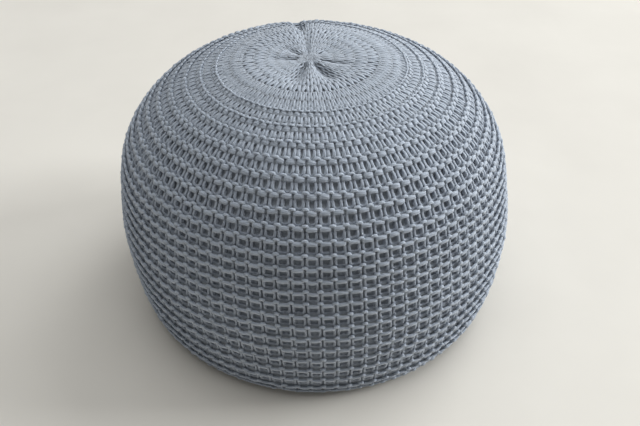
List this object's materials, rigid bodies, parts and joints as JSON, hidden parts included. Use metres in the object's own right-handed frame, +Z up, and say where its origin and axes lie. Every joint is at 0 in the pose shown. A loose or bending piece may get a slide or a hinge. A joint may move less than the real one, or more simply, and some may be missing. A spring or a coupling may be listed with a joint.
{
  "type": "round knitted pouf cushion",
  "caption": "Round filled floor cushion with a thick knitted cover, ridged round its side and gathered to a point on top, used as a low seat or footrest.",
  "frame": {"origin": "middle of the flat base, on the floor", "axes": "+Z up through the gathered point on top, -Y towards the front of the picture, +X to its right"},
  "size_m": [0.5, 0.5, 0.3222],
  "materials": {
    "knit": "matte grey cotton yarn, thick garter knit"
  },
  "bodies": {
    "root": {"pouf_cover": "knit"}
  },
  "joints": []
}
